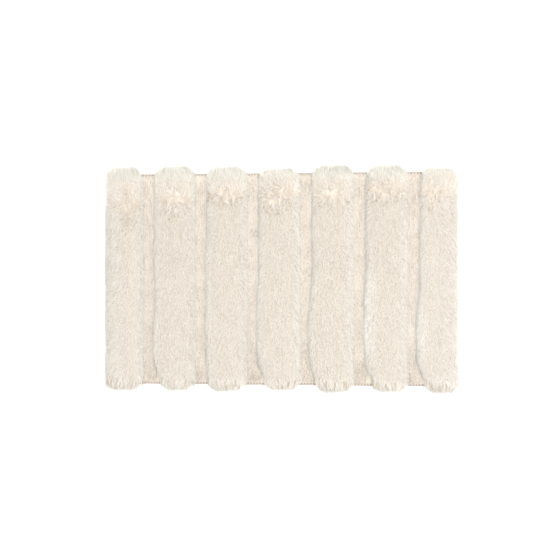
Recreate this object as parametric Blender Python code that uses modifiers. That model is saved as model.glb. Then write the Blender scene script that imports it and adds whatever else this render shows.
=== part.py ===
"""Ribbed plush bath mat: a rubbery backing, a ground fabric, seven tall pile ribs with six low-pile
channels between them, and a binding tape sewn round the edge.

X runs along the mat's long side, Y along the ribs and Z up. The origin is on the floor, at the
middle of the mat. Lengths are in metres."""

import math

import bmesh
import bpy

# The mat, from outer edge to outer edge of its binding
MAT_LENGTH = 0.864
MAT_WIDTH = 0.533
CORNER_RADIUS = 0.020

# Layers, from the floor up
BACKING_THICKNESS = 0.0012
GROUND_THICKNESS = 0.0010

# Pile ribs and the channels between them
RIB_COUNT = 7
CHANNEL_WIDTH = 0.029
OUTER_RIB_TRIM = 0.0105  # how much narrower the first and last rib are than the others
RIB_PILE_HEIGHT = 0.026
CHANNEL_PILE_HEIGHT = 0.007
SIDE_OVERHANG = 0.0085  # pile past the binding at the two short sides
END_OVERHANG = 0.016  # pile past the binding at both ends of each rib
RIB_ROUNDING = 0.022
CHANNEL_ROUNDING = 0.003

# Binding tape, folded round the edge of the ground fabric
BINDING_WIDTH = 0.006
BINDING_FOLD = 0.0012
SEAM_MARGIN = 0.0018  # from the tape's inner edge to the seam

# Needle thread above and bobbin thread below
THREAD_DIAMETER = 0.0005
THREAD_PROUD = 0.0003  # how far the needle thread stands out of its groove

GAP = 0.0003  # between neighbouring pieces
THREAD_LIFT = 0.0001  # the bobbin thread's height over the floor

ARC_STEPS = 8
ROUNDING_SEGMENTS = 5
CUTTER_MARGIN = 0.02

# Where the seam runs, measured from the mat's edge
SEAM_INSET = BINDING_WIDTH - SEAM_MARGIN

# Heights that follow from the layers
GROUND_Z = BACKING_THICKNESS + GAP
PILE_Z = GROUND_Z + GROUND_THICKNESS + GAP
BINDING_TOP_Z = PILE_Z + BACKING_THICKNESS
NEEDLE_THREAD_Z = BINDING_TOP_Z + THREAD_PROUD - THREAD_DIAMETER / 2
OVERHANG_Z = BINDING_TOP_Z + THREAD_PROUD + GAP

# Widths that follow from the mat's length
CHANNEL_COUNT = RIB_COUNT - 1
RIB_WIDTH = (
    MAT_LENGTH + 2 * (SIDE_OVERHANG + OUTER_RIB_TRIM) - CHANNEL_COUNT * CHANNEL_WIDTH
) / RIB_COUNT
RIB_PITCH = RIB_WIDTH + CHANNEL_WIDTH

CREAM = (0.83, 0.74, 0.63)
PALE_CREAM = (0.80, 0.71, 0.60)
TAPE_CREAM = (0.76, 0.66, 0.54)
CLOTH_BEIGE = (0.70, 0.62, 0.52)
RUBBER_OFF_WHITE = (0.72, 0.70, 0.66)


def clear_scene():
    for old in list(bpy.data.objects):
        bpy.data.objects.remove(old, do_unlink=True)


def new_collection(name):
    collection = bpy.data.collections.new(name)
    bpy.context.scene.collection.children.link(collection)
    return collection


def new_material(name, colour, roughness, sheen=0.0):
    material = bpy.data.materials.new(name)
    material.use_nodes = True
    shader = material.node_tree.nodes["Principled BSDF"]
    shader.inputs["Base Color"].default_value = (*colour, 1.0)
    shader.inputs["Roughness"].default_value = roughness
    shader.inputs["Metallic"].default_value = 0.0
    shader.inputs["Sheen Weight"].default_value = sheen
    return material


def rounded_rectangle(length, width, radius):
    """The corner points of a rounded rectangle about the origin, anticlockwise."""
    centres = (
        (length / 2 - radius, width / 2 - radius),
        (radius - length / 2, width / 2 - radius),
        (radius - length / 2, radius - width / 2),
        (length / 2 - radius, radius - width / 2),
    )
    points = []
    for quarter, (x, y) in enumerate(centres):
        for step in range(ARC_STEPS + 1):
            angle = math.pi / 2 * (quarter + step / ARC_STEPS)
            points.append((x + radius * math.cos(angle), y + radius * math.sin(angle)))
    return points


def inset_outline(inset):
    """The mat's outline, drawn this far inside its outer edge."""
    return rounded_rectangle(MAT_LENGTH - 2 * inset, MAT_WIDTH - 2 * inset, CORNER_RADIUS - inset)


def add_closed_spline(curve, points):
    spline = curve.splines.new("POLY")
    spline.points.add(len(points) - 1)
    for point, (x, y) in zip(spline.points, points):
        point.co = (x, y, 0.0, 1.0)
    spline.use_cyclic_u = True


def flat_curve(name, outlines, low, high):
    """A plate between two heights, from its outline and the outlines of its windows."""
    curve = bpy.data.curves.new(name, "CURVE")
    curve.dimensions = "2D"
    curve.fill_mode = "BOTH"
    curve.extrude = (high - low) / 2
    for outline in outlines:
        add_closed_spline(curve, outline)
    plate = bpy.data.objects.new(name, curve)
    plate.location.z = (low + high) / 2
    return plate


def ring_curve(name, outline, z):
    """A closed path round the mat, for a profile or a round section to follow."""
    curve = bpy.data.curves.new(name, "CURVE")
    curve.dimensions = "3D"
    curve.twist_mode = "Z_UP"
    add_closed_spline(curve, outline)
    ring = bpy.data.objects.new(name, curve)
    ring.location.z = z
    return ring


def as_mesh(source, collection):
    """A mesh object with a curve's welded surface, in place of the curve."""
    bpy.context.view_layer.update()
    graph = bpy.context.evaluated_depsgraph_get()
    mesh = bpy.data.meshes.new_from_object(source.evaluated_get(graph))
    surface = bmesh.new()
    surface.from_mesh(mesh)
    bmesh.ops.remove_doubles(surface, verts=surface.verts, dist=0.00001)
    bmesh.ops.recalc_face_normals(surface, faces=surface.faces)
    surface.to_mesh(mesh)
    surface.free()
    name = source.name
    matrix = source.matrix_world.copy()
    bpy.data.objects.remove(source, do_unlink=True)
    solid = bpy.data.objects.new(name, mesh)
    solid.matrix_world = matrix
    collection.objects.link(solid)
    return solid


def add_plate(name, outline, low, high, material, collection):
    plate = flat_curve(name, [outline], low, high)
    plate.data.materials.append(material)
    collection.objects.link(plate)
    return plate


def binding_profile():
    """The tape's folded section. X runs out from the mat, with 0 at its edge, and Y up from the floor."""
    ground_room = (GROUND_Z - GAP, PILE_Z)
    seam_reach = THREAD_DIAMETER / 2 + GAP
    seam = (-SEAM_INSET - seam_reach, -SEAM_INSET + seam_reach)
    bobbin_room = THREAD_LIFT + THREAD_DIAMETER + GAP
    needle_room = BINDING_TOP_Z + THREAD_PROUD - THREAD_DIAMETER - GAP
    return [
        (0.0, 0.0),
        (0.0, BINDING_TOP_Z),
        (seam[1], BINDING_TOP_Z),
        (seam[1], needle_room),
        (seam[0], needle_room),
        (seam[0], BINDING_TOP_Z),
        (-BINDING_WIDTH, BINDING_TOP_Z),
        (-BINDING_WIDTH, ground_room[1]),
        (-BINDING_FOLD, ground_room[1]),
        (-BINDING_FOLD, ground_room[0]),
        (-BINDING_WIDTH, ground_room[0]),
        (-BINDING_WIDTH, 0.0),
        (seam[0], 0.0),
        (seam[0], bobbin_room),
        (seam[1], bobbin_room),
        (seam[1], 0.0),
    ]


def add_binding(material, collection, helpers):
    section = bpy.data.curves.new("binding_section", "CURVE")
    section.dimensions = "2D"
    section.fill_mode = "NONE"
    add_closed_spline(section, binding_profile())
    guide = bpy.data.objects.new("binding_section", section)
    guide.hide_render = True
    helpers.objects.link(guide)
    ring = ring_curve("edge_binding", inset_outline(0.0), 0.0)
    ring.data.bevel_mode = "OBJECT"
    ring.data.bevel_object = guide
    collection.objects.link(ring)
    tape = as_mesh(ring, collection)
    tape.data.materials.append(material)
    return tape


def add_thread(name, z, material, collection):
    thread = ring_curve(name, inset_outline(SEAM_INSET), z)
    thread.data.bevel_depth = THREAD_DIAMETER / 2
    thread.data.bevel_resolution = 2
    thread.data.materials.append(material)
    collection.objects.link(thread)
    return thread


def add_edge_cutter(helpers):
    """What the pile keeps clear of at the mat's edge: the binding, its seam and the air outside."""
    reach = CUTTER_MARGIN + SIDE_OVERHANG + END_OVERHANG
    outside = rounded_rectangle(MAT_LENGTH + 2 * reach, MAT_WIDTH + 2 * reach, CORNER_RADIUS)
    window = inset_outline(BINDING_WIDTH + GAP)
    ring = flat_curve("edge_cutter", [outside, window], -CUTTER_MARGIN, OVERHANG_Z)
    helpers.objects.link(ring)
    cutter = as_mesh(ring, helpers)
    cutter.hide_render = True
    cutter.display_type = "WIRE"
    return cutter


def add_pile_block(name, x_range, half_width, height, rounding, material, collection):
    """A block of pile standing on the ground fabric, rounded everywhere but at its base."""
    length = x_range[1] - x_range[0]
    shape = bmesh.new()
    bmesh.ops.create_cube(shape, size=1.0)
    bmesh.ops.scale(shape, verts=shape.verts, vec=(length, 2 * half_width, height))
    weights = shape.edges.layers.float.new("bevel_weight_edge")
    for edge in shape.edges:
        at_base = all(vertex.co.z < 0 for vertex in edge.verts)
        edge[weights] = 0.0 if at_base else 1.0
    mesh = bpy.data.meshes.new(name)
    shape.to_mesh(mesh)
    shape.free()
    mesh.materials.append(material)
    mesh.shade_smooth()
    block = bpy.data.objects.new(name, mesh)
    block.location = ((x_range[0] + x_range[1]) / 2, 0.0, PILE_Z + height / 2)
    collection.objects.link(block)
    rounded = block.modifiers.new("rounding", "BEVEL")
    rounded.limit_method = "WEIGHT"
    rounded.width = min(rounding, 0.9 * height, 0.45 * length)
    rounded.segments = ROUNDING_SEGMENTS
    return block


def rib_range(index):
    """Where a rib starts and ends along X, clear of the channels beside it."""
    centre = (index - (RIB_COUNT - 1) / 2) * RIB_PITCH
    outer_edge = MAT_LENGTH / 2 + SIDE_OVERHANG
    low = max(centre - RIB_WIDTH / 2 + GAP / 2, -outer_edge)
    high = min(centre + RIB_WIDTH / 2 - GAP / 2, outer_edge)
    return low, high


def channel_range(index):
    centre = (index - (CHANNEL_COUNT - 1) / 2) * RIB_PITCH
    reach = CHANNEL_WIDTH / 2 - GAP / 2
    return centre - reach, centre + reach


def add_ribs(material, collection, cutter):
    half_width = MAT_WIDTH / 2 + END_OVERHANG
    for index in range(RIB_COUNT):
        name = f"pile_rib_{index + 1}"
        rib = add_pile_block(
            name, rib_range(index), half_width, RIB_PILE_HEIGHT, RIB_ROUNDING, material, collection
        )
        clearance = rib.modifiers.new("edge_clearance", "BOOLEAN")
        clearance.operation = "DIFFERENCE"
        clearance.object = cutter


def add_channels(material, collection):
    half_width = MAT_WIDTH / 2 - BINDING_WIDTH - GAP
    for index in range(CHANNEL_COUNT):
        add_pile_block(
            f"low_pile_channel_{index + 1}",
            channel_range(index),
            half_width,
            CHANNEL_PILE_HEIGHT,
            CHANNEL_ROUNDING,
            material,
            collection,
        )


def build():
    clear_scene()
    mat = new_collection("bath_mat")
    helpers = new_collection("cutters")
    rubber = new_material("anti_slip_rubber", RUBBER_OFF_WHITE, 0.7)
    cloth = new_material("ground_cloth", CLOTH_BEIGE, 0.9)
    tape = new_material("binding_tape", TAPE_CREAM, 0.85, 0.1)
    thread = new_material("sewing_thread", CREAM, 0.6)
    plush = new_material("plush_pile", CREAM, 0.9, 0.4)
    low_plush = new_material("low_pile", PALE_CREAM, 0.9, 0.3)
    backing_edge = inset_outline(BINDING_WIDTH + GAP)
    add_plate("anti_slip_backing", backing_edge, 0.0, BACKING_THICKNESS, rubber, mat)
    ground_edge = inset_outline(BINDING_FOLD + GAP)
    add_plate("ground_fabric", ground_edge, GROUND_Z, GROUND_Z + GROUND_THICKNESS, cloth, mat)
    add_binding(tape, mat, helpers)
    add_thread("needle_thread", NEEDLE_THREAD_Z, thread, mat)
    add_thread("bobbin_thread", THREAD_LIFT + THREAD_DIAMETER / 2, thread, mat)
    add_ribs(plush, mat, add_edge_cutter(helpers))
    add_channels(low_plush, mat)


build()
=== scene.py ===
# The looks of a ribbed plush bath mat: long combed pile on seven ribs, low pile between them, a ground
# cloth, an anti-slip backing and a stitched binding tape. Lengths are in metres.
import math

import bpy
import numpy as np
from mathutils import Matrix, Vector


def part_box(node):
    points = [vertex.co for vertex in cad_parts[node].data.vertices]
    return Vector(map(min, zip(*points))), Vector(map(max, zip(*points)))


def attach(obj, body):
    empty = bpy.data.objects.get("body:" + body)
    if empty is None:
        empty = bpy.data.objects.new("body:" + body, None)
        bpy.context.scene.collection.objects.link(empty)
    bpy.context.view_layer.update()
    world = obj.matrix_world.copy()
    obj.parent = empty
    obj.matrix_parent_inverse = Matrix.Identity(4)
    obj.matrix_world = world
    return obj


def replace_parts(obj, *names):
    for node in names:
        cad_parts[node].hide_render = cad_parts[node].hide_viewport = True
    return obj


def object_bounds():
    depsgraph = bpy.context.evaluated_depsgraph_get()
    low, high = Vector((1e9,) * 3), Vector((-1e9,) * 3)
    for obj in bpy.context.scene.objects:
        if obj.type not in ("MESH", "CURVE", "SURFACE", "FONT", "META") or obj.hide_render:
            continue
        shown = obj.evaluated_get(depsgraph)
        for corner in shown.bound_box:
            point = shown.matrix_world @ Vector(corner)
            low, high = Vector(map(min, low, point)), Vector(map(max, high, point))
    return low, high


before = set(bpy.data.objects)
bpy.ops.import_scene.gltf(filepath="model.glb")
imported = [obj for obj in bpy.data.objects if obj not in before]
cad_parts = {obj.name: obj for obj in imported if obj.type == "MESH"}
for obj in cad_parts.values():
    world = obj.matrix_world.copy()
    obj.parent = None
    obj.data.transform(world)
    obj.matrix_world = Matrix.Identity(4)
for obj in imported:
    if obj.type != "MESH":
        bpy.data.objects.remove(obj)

CAD_LOW, CAD_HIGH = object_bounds()
FIELD_LOW, FIELD_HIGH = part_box("anti_slip_backing")  # inside the binding, where pile is rooted
MAT_LOW, MAT_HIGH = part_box("edge_binding")
RIB_COUNT = sum(name.startswith("pile_rib_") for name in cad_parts)
CHANNEL_COUNT = sum(name.startswith("low_pile_channel_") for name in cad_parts)
BODY = "root"
BAKE_MAP = "OFBake"
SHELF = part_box("low_pile_channel_1")[1].z  # the top of the low pile

# Camera: almost overhead, a little to the mat's right
CAMERA_DISTANCE = 2.326
CAMERA_TILT = math.radians(4.84)
CAMERA_LENS = 60.0
CAMERA_SHIFT_X = -0.0007

# Light: an even pale studio, and a softbox that makes the mat's right side a little brighter
STUDIO_COLOUR = (0.993, 1.0, 0.989, 1.0)
STUDIO_STRENGTH = 1.485
SOFTBOX_PLACE = Vector((1.05, 0.60, 3.25))
SOFTBOX_ACROSS = 2.5
SOFTBOX_WATTS = 60.0
PILE_BOUNCES = 10  # of light from strand to strand, which pale pile needs

# The tall pile. Its hairs are rooted on a dense core, and their tips lie near an outer envelope.
CORE_INSET = 0.0065  # from the sides of a rib's envelope to its core
CORE_DROP = 0.0065  # from the envelope's top to the core's
FIELD_MARGIN = 0.0012  # from the binding to the first tufts
END_ROUNDING = 0.014  # how far the core rounds off at each end of a rib
SIDE_SPREAD = 0.026  # over a side's gap, how near that side the tips begin to fan out
LEFT_SPLAY = 0.0040  # how far the uneven tips at a rib's sides reach over the channel
RIGHT_SPLAY = 0.0075
LEFT_POWER = 3.2  # how square a rib's section is: 2 is an ellipse, and more is squarer
RIGHT_POWER = 2.2
CAP_POWER = 3.6  # the same for its rounded ends, seen from above
CAP_ROWS = 12  # of grid points in each rounded end
ROW_STEP = 0.0045  # between rows of grid points
SECTION_POINTS = 34  # in each row
SECTION_ASPECT = 0.45  # a core's height over half its width
SIDE_OVERHANG = 0.016  # how far the core leans out over the binding at the outer sides
END_OVERHANG = 0.012
# Reach is how far a tip lies from its root along the surface, depth where it lies between the core, at 0,
# and the envelope, at 1, and thinning how much of the hair is missing at a parting.
HAIR_KINDS = {
    "underfur": dict(count=34000, reach=0.0042, depth=(0.45, 0.85), width=0.00115, thinning=0.4),
    "guard_hair": dict(count=6000, reach=0.0064, depth=(0.80, 1.05), width=0.00100, thinning=0.0),
}
STRAND_FLATNESS = 0.75  # a strand's thickness over its width
BEND_SHARE = 0.85  # a hair's width at its bend, over its width at the root
BEND_HEIGHT = 0.55  # where the bend lies, from root at 0 to tip at 1
LOCK_SIZE = np.array([0.0022, 0.0034])  # across and along the rib
EDGE_SIZE = np.array([0.0030, 0.0042])  # at the ragged edges
TUFT_SIZE = np.array([0.0050, 0.0060])  # round a parting
LOCK_PULL = 0.65  # how far a hair's tip goes to the tip of its lock
EDGE_PULL = 0.80
TUFT_PULL = 0.80
LOCK_RELIEF = 0.38  # how unlike in height the locks are, as a share of the room above the core
LOCK_TILT = 0.40  # how unlike they catch the light
END_RAGGEDNESS = 0.006  # how unlike in length the locks are at a rib's ends
LOWEST_TIP = 0.0052  # over the floor, clear of the binding and its seam
SHELF_DROP = 0.0006  # how far the hairs beside a channel dip into its low pile
GAP_SHARE = 0.20  # of the tufts round a parting: these are short and nearly bare
GAP_HEIGHT = 0.4
GAP_THINNING = 0.85
# Painted shade: how much darker and warmer the hairs in those gaps are
GAP_PAINTED_SHADE = 0.8
TUFT_WHITENESS = 0.6  # how much further up the colour ramp the white tufts are
TUFT_STRETCH = 0.7  # how much longer the hairs of a tuft lie
TUFT_DISORDER = 1.1  # how far each tuft round a parting leans its own way
SIDE_STRETCH = 0.5  # how much longer the hairs at the sides lie
SIDE_PAINTED_SHADE = 0.04  # painted shade: how much further down the colour ramp, darker and warmer, the hairs at the sides are
SPECK_SHARE = 0.14  # of the locks just below a parting and at a near end: these are painted dark as shadow specks
SHADOW_SPECK = -9.0  # a tone shift that marks them, far below any other
PILE_SHADING = 0.4  # 0 shades each strand as a round one, and nearer 1 as the pile it stands in
PILE_FLATNESS = 0.94  # how much the pile is shaded as if it faced straight up
OUTER_FLATNESS = 0.35  # the same past the mat's edges

# Places on the colour ramp of the pile's fibre
SHADOW_SPECK_TONE = 0.0  # painted shade: small dark specks among the tufts, where shadow falls between them
DEEPEST_TONE, WHITEST_TONE = 0.1, 0.8
FROST_TONE = 0.9  # white tufts
FRINGE_SHADE_TONE = 1.0  # painted shade: the thin ends that hang past the mat's edges, darker and cooler against the bright floor light

# The ribs one by one. Down is measured from the mat's far edge.
#   part: the parting's place, across (-1 is the rib's left edge, and 1 its right) and down
#   part_size: how far it spreads, across and down
#   white, warm, pale: the share of white tufts there; how much warmer and darker the hair round it is,
#       partly the roots that show and partly painted shade; and how much paler the whole rib is, as painted
#       light
#   left, right, top, end: how far the hair reaches past the CAD rib on that side
#   slim: how much narrower the far end is
#   belly, toe: how far the left edge bulges lower down, and draws in at the near end
#   frost: where the left side has white locks, from and to
RIB_SHAPES = (
    dict(
        part=(0.10, 0.080), part_size=(0.012, 0.028), white=0.12, warm=0.45,
        slim=0.14, left=0.007, top=0.006, end=0.003, belly=0.000, toe=0.000,
    ),
    dict(
        part=(0.05, 0.070), part_size=(0.014, 0.020), white=0.20, warm=0.35,
        top=0.007, end=0.001, belly=0.002, toe=0.014,
    ),
    dict(
        part=(-0.10, 0.056), part_size=(0.020, 0.012), white=0.16, warm=0.50,
        top=0.004, end=0.003, belly=0.004, toe=0.004,
    ),
    dict(
        part=(-0.25, 0.058), part_size=(0.018, 0.020), white=0.06, warm=0.55,
        top=-0.006, end=-0.003, belly=0.006, toe=0.013,
    ),
    dict(
        part=(-0.10, 0.058), part_size=(0.020, 0.014), white=0.20, warm=0.40,
        top=0.005, end=0.003, belly=0.011, toe=0.010,
    ),
    dict(
        part=(-0.15, 0.046), part_size=(0.020, 0.016), white=0.06, warm=0.55,
        top=0.003, end=0.000, belly=0.005, toe=0.018, frost=(0.27, 0.45),
    ),
    dict(
        # pale: painted light, for the mat's brighter right side
        part=(-0.45, 0.054), part_size=(0.012, 0.018), white=0.10, warm=0.45, pale=0.10,
        slim=0.08, right=0.005, top=-0.008, end=0.001, belly=0.009, toe=0.013, frost=(0.36, 0.45),
    ),
)
BELLY_DOWN = 0.40
BELLY_LENGTH = 0.085
TOE_LENGTH = 0.055

# The low pile
LOW_PILE_ROWS = 6  # of tufts in a channel, lengthwise
LOW_TUFT_STEP = 0.0011  # from tuft to tuft along a row
LOW_TUFT_LENGTH = 0.0054
LOW_TUFT_WIDTH = 0.0014
LOW_TUFTS_ABREAST = 3  # at each step, scattered across the row
LOW_SCATTER = 0.0016
LOW_TILT = 0.5  # how unlike its locks catch the light
LOW_SPREAD = 0.0040  # how far it runs on under the ribs beside it
LOW_CORE_SHARE = 0.62  # of the CAD channel's height
LOW_FURROW = 0.0016  # how deep the furrows between rows are
LOW_WOBBLE = 0.0005  # how far the rows wander sideways
LOW_END_FALL = 0.0028  # how far the core rounds off at its ends
LOW_PAINTED_SHADE = 0.36  # painted shade: how much deeper its tones are towards the near edge

# The binding and its seam
STITCH_LENGTH = 0.0075
SEAM_INSET = 0.0042  # from the mat's edge
THREAD_RADIUS = 0.00095
THREAD_SHARE = 0.44  # of each stitch that shows
PUCKER_DEPTH = 0.00070  # how far a stitch draws the tape down
TAPE_WIDTH = 0.0060
TAPE_WALL = 0.0011
TAPE_FOLD = 0.0014  # radius of its folded edges
TAPE_STEP = 0.0015  # between its sections
RIM_SHADOW_WIDTH = 0.0034  # of the painted contact shadow, a darker line along the mat's edge
CORNER_RADIUS = 0.020
BACKING_CORNER = CORNER_RADIUS - 0.0063
CLOTH_CORNER = CORNER_RADIUS - 0.0015


def ripples(seed, wavelength, waves=7):
    """A smooth wobble over the mat, a sum of plane waves that stays near -1 to 1."""
    rng = np.random.default_rng(seed)
    angles = rng.uniform(0, 2 * math.pi, waves)
    phases = rng.uniform(0, 2 * math.pi, waves)
    numbers = 2 * math.pi / (wavelength * rng.uniform(0.7, 1.5, waves))

    def wobble(x, y):
        total = 0.0
        for angle, phase, number in zip(angles, phases, numbers):
            total = total + np.sin(number * (x * math.cos(angle) + y * math.sin(angle)) + phase)
        return total / math.sqrt(1.3 * waves)

    return wobble


def ease(value, start, end):
    """A smooth rise from 0 at the start to 1 at the end."""
    share = np.clip((value - start) / (end - start), 0.0, 1.0)
    return share * share * (3 - 2 * share)


def unit(vectors):
    return vectors / np.maximum(np.linalg.norm(vectors, axis=-1, keepdims=True), 1e-9)


def column(values):
    return np.asarray(values)[:, None]


def beside(*values):
    """Arrays side by side along a new last axis."""
    return np.stack(values, -1)


def corners_of(node):
    return [np.array(corner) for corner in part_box(node)]


# Meshes


def new_piece(name, points, faces, material, uvs=None, normals=None):
    """A mesh piece from arrays. It can have a bake-map place for each corner and a normal for each point."""
    mesh = bpy.data.meshes.new(name)
    corners = faces.shape[1]
    mesh.vertices.add(len(points))
    mesh.vertices.foreach_set("co", np.asarray(points, np.float32).ravel())
    mesh.loops.add(faces.size)
    mesh.loops.foreach_set("vertex_index", np.asarray(faces, np.int32).ravel())
    mesh.polygons.add(len(faces))
    mesh.polygons.foreach_set("loop_start", np.arange(0, faces.size, corners, dtype=np.int32))
    mesh.polygons.foreach_set("loop_total", np.full(len(faces), corners, np.int32))
    mesh.polygons.foreach_set("use_smooth", np.ones(len(faces), bool))
    mesh.update(calc_edges=True)
    if uvs is not None:
        layer = mesh.uv_layers.new(name=BAKE_MAP)
        layer.uv.foreach_set("vector", np.asarray(uvs, np.float32).ravel())
    if normals is not None:
        mesh.normals_split_custom_set_from_vertices(normals)
    mesh.materials.append(material)
    piece = bpy.data.objects.new(name, mesh)
    bpy.context.scene.collection.objects.link(piece)
    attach(piece, BODY)
    return piece


def loft_faces(rings, around):
    """Quads between neighbouring rings of points, each ring closed on itself."""
    ring, point = np.meshgrid(np.arange(rings - 1), np.arange(around), indexing="ij")
    here = ring * around + point
    after = ring * around + (point + 1) % around
    return beside(here, after, after + around, here + around).reshape(-1, 4)


def closed_loft(name, rings, material):
    """A solid through closed rings of points, with a middle point to close each end."""
    count, around = rings.shape[:2]
    points = np.concatenate([rings.reshape(-1, 3), [rings[0].mean(0), rings[-1].mean(0)]])
    sides = loft_faces(count, around)
    point = np.arange(around)
    after = (point + 1) % around
    first = np.full(around, count * around)
    base = (count - 1) * around
    ends = [beside(after, point, first), beside(base + point, base + after, first + 1)]
    triangles = np.concatenate([sides[:, [0, 1, 2]], sides[:, [0, 2, 3]], *ends])
    return new_piece(name, points, triangles, material)


def strand_ring(centre, heading, normals, widths, share=1.0):
    """The three corners of each strand's section at one place along it."""
    along = unit(heading)
    across = unit(np.cross(along, normals))
    over = np.cross(along, across)
    corners = []
    for corner in range(3):
        angle = 2 * math.pi * corner / 3
        reach = math.cos(angle) * across + STRAND_FLATNESS * math.sin(angle) * over
        corners.append(centre + reach * column(widths) * share / 2)
    return np.stack(corners, 1)


def strand_faces(rings):
    """One strand's triangles: its sides, the point at its tip and the cap at its root."""
    faces = []
    for ring in range(rings - 1):
        for corner in range(3):
            here = 3 * ring + corner
            after = 3 * ring + (corner + 1) % 3
            faces += [[here, after, after + 3], [here, after + 3, here + 3]]
    last = 3 * (rings - 1)
    faces += [[last + corner, last + (corner + 1) % 3, last + 3] for corner in range(3)]
    return np.array(faces + [[0, 2, 1]])


def strands(name, roots, middles, tips, normals, widths, tones, material):
    """Closed three-sided strands, bent over at their middles, or straight where middles is None."""
    if middles is None:
        rings = [strand_ring(roots, tips - roots, normals, widths)]
    else:
        bend = 0.25 * roots + 0.5 * middles + 0.25 * tips
        rings = [strand_ring(roots, middles - roots, normals, widths)]
        rings.append(strand_ring(bend, tips - roots, normals, widths, BEND_SHARE))
    points = np.concatenate([*rings, tips[:, None]], 1)
    shading = soft_normals(points, roots, tips, normals)
    pattern = strand_faces(len(rings))
    faces = (np.arange(len(roots)) * points.shape[1])[:, None, None] + pattern
    heights = np.append(np.repeat((0.0, BEND_HEIGHT)[: len(rings)], 3), 1.0)
    uvs = strand_uvs(tones, pattern, heights, len(roots))
    return new_piece(name, points.reshape(-1, 3), faces.reshape(-1, 3), material, uvs, shading)


def soft_normals(points, roots, tips, normals):
    """Shading that is mostly the whole pile's, so that its strands catch the light together."""
    share = ((points - roots[:, None]) * unit(tips - roots)[:, None]).sum(-1, keepdims=True)
    radial = unit(points - roots[:, None] - share * unit(tips - roots)[:, None] + 1e-7)
    return unit(normals[:, None] + (1 - PILE_SHADING) * radial).reshape(-1, 3)


def strand_uvs(tones, pattern, heights, count):
    """Each strand's own upright strip of the bake map: across is its tone, and up is root to tip."""
    strip = 0.006
    side = np.array([0.0, 0.5, 1.0]) * strip
    uvs = np.empty((count, len(pattern), 3, 2))
    uvs[..., 0] = 0.005 + 0.98 * np.asarray(tones)[:, None, None] + side
    uvs[..., 1] = 0.01 + 0.97 * heights[pattern] + 0.01 * (heights[pattern] == 0) * np.arange(3)
    return uvs


# Tall pile


def core_limits(number):
    """Where a rib's dense pile stands: low and high corners, clear of the binding."""
    low, high = corners_of(f"pile_rib_{number}")
    low[0] = max(low[0] + CORE_INSET, FIELD_LOW.x + FIELD_MARGIN)
    high[0] = min(high[0] - CORE_INSET, FIELD_HIGH.x - FIELD_MARGIN)
    low[1] = FIELD_LOW.y + FIELD_MARGIN
    high[1] = FIELD_HIGH.y - FIELD_MARGIN
    high[2] -= CORE_DROP
    return low, high


def envelope_limits(number):
    """Where the tips of a rib's hairs reach."""
    low, high = corners_of(f"pile_rib_{number}")
    shape = RIB_SHAPES[number - 1]
    low[0] -= shape.get("left", 0.0)
    high[0] += shape.get("right", 0.0)
    low[1] -= shape["end"]
    high[1] += shape["top"]
    return low, high


def rib_rows(low, high):
    """Places along a rib, and how full its section is there: 1 except in the rounded ends. The core and
    the envelope share the places in between, so that only the end tips fan out."""
    first = FIELD_LOW.y + FIELD_MARGIN + END_ROUNDING
    last = FIELD_HIGH.y - FIELD_MARGIN - END_ROUNDING
    straight = np.linspace(first, last, int(round((last - first) / ROW_STEP)) + 1)
    reach = np.sin(np.linspace(math.pi / 2 - 0.03, 0.0, CAP_ROWS + 1)[:-1])
    fullness = (1 - reach**CAP_POWER) ** (1 / CAP_POWER)
    near_cap = first - (first - low) * reach
    far_cap = last + (high - last) * reach[::-1]
    places = np.concatenate([near_cap, straight, far_cap])
    return places, np.concatenate([fullness, np.ones(len(straight)), fullness[::-1]])


def section_across():
    """Even steps over a rib's core, from its left foot at -1 to its right foot at 1."""
    angles = np.linspace(math.pi, 0.0, 400)
    power = np.where(np.cos(angles) < 0, LEFT_POWER, RIGHT_POWER)
    across = np.sign(np.cos(angles)) * np.abs(np.cos(angles)) ** (2 / power)
    up = SECTION_ASPECT * np.abs(np.sin(angles)) ** (2 / power)
    run = np.concatenate([[0.0], np.cumsum(np.hypot(np.diff(across), np.diff(up)))])
    return np.interp(np.linspace(0, run[-1], SECTION_POINTS), run, across)


def envelope_across(number):
    """Places straight above the core's, except that they move out at the sides."""
    inner_low, inner_high = core_limits(number)
    outer_low, outer_high = envelope_limits(number)
    across = section_across()
    gap = np.where(across < 0, inner_low[0] - outer_low[0], outer_high[0] - inner_high[0])
    core_x = (inner_low[0] + inner_high[0]) / 2 + across * (inner_high[0] - inner_low[0]) / 2
    target = core_x + np.sign(across) * gap * np.abs(across) ** (1 + SIDE_SPREAD / gap)
    return (2 * target - outer_low[0] - outer_high[0]) / (outer_high[0] - outer_low[0])


def rib_grid(number, low, high, across):
    """A rib's surface as rows of points, each row running from the rib's left foot to its right."""
    shape = RIB_SHAPES[number - 1]
    along, fullness = rib_rows(low[1], high[1])
    down = MAT_HIGH.y - along
    wander = ripples(100 + number, 0.110)
    swell = ripples(200 + number, 0.045)
    belly = shape["belly"] * np.exp(-(((down - BELLY_DOWN) / BELLY_LENGTH) ** 2))
    toe = shape["toe"] * ease(-along, -FIELD_LOW.y - TOE_LENGTH, -FIELD_LOW.y)
    left = low[0] - belly + toe + 0.0016 * wander(along, 0.0)
    right = high[0] + 0.0007 * wander(along, 0.5)
    middle = (left + right) / 2
    slimming = shape.get("slim", 0.0) * ease(along, FIELD_HIGH.y - 0.024, FIELD_HIGH.y + 0.006)
    half = (right - left) / 2 * fullness**0.5 * (1 - slimming)
    height = (high[2] - low[2]) * fullness**0.75
    power = np.where(across < 0, LEFT_POWER, RIGHT_POWER)
    up = (1 - np.minimum(np.abs(across), 1) ** power) ** (1 / power)
    grid = np.empty((len(along), SECTION_POINTS, 3))
    grid[..., 0] = middle[:, None] + half[:, None] * across
    grid[..., 1] = along[:, None]
    bumps = 1 + 0.035 * swell(grid[..., 0], grid[..., 1])
    grid[..., 2] = low[2] + height[:, None] * up * bumps
    return grid


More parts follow.
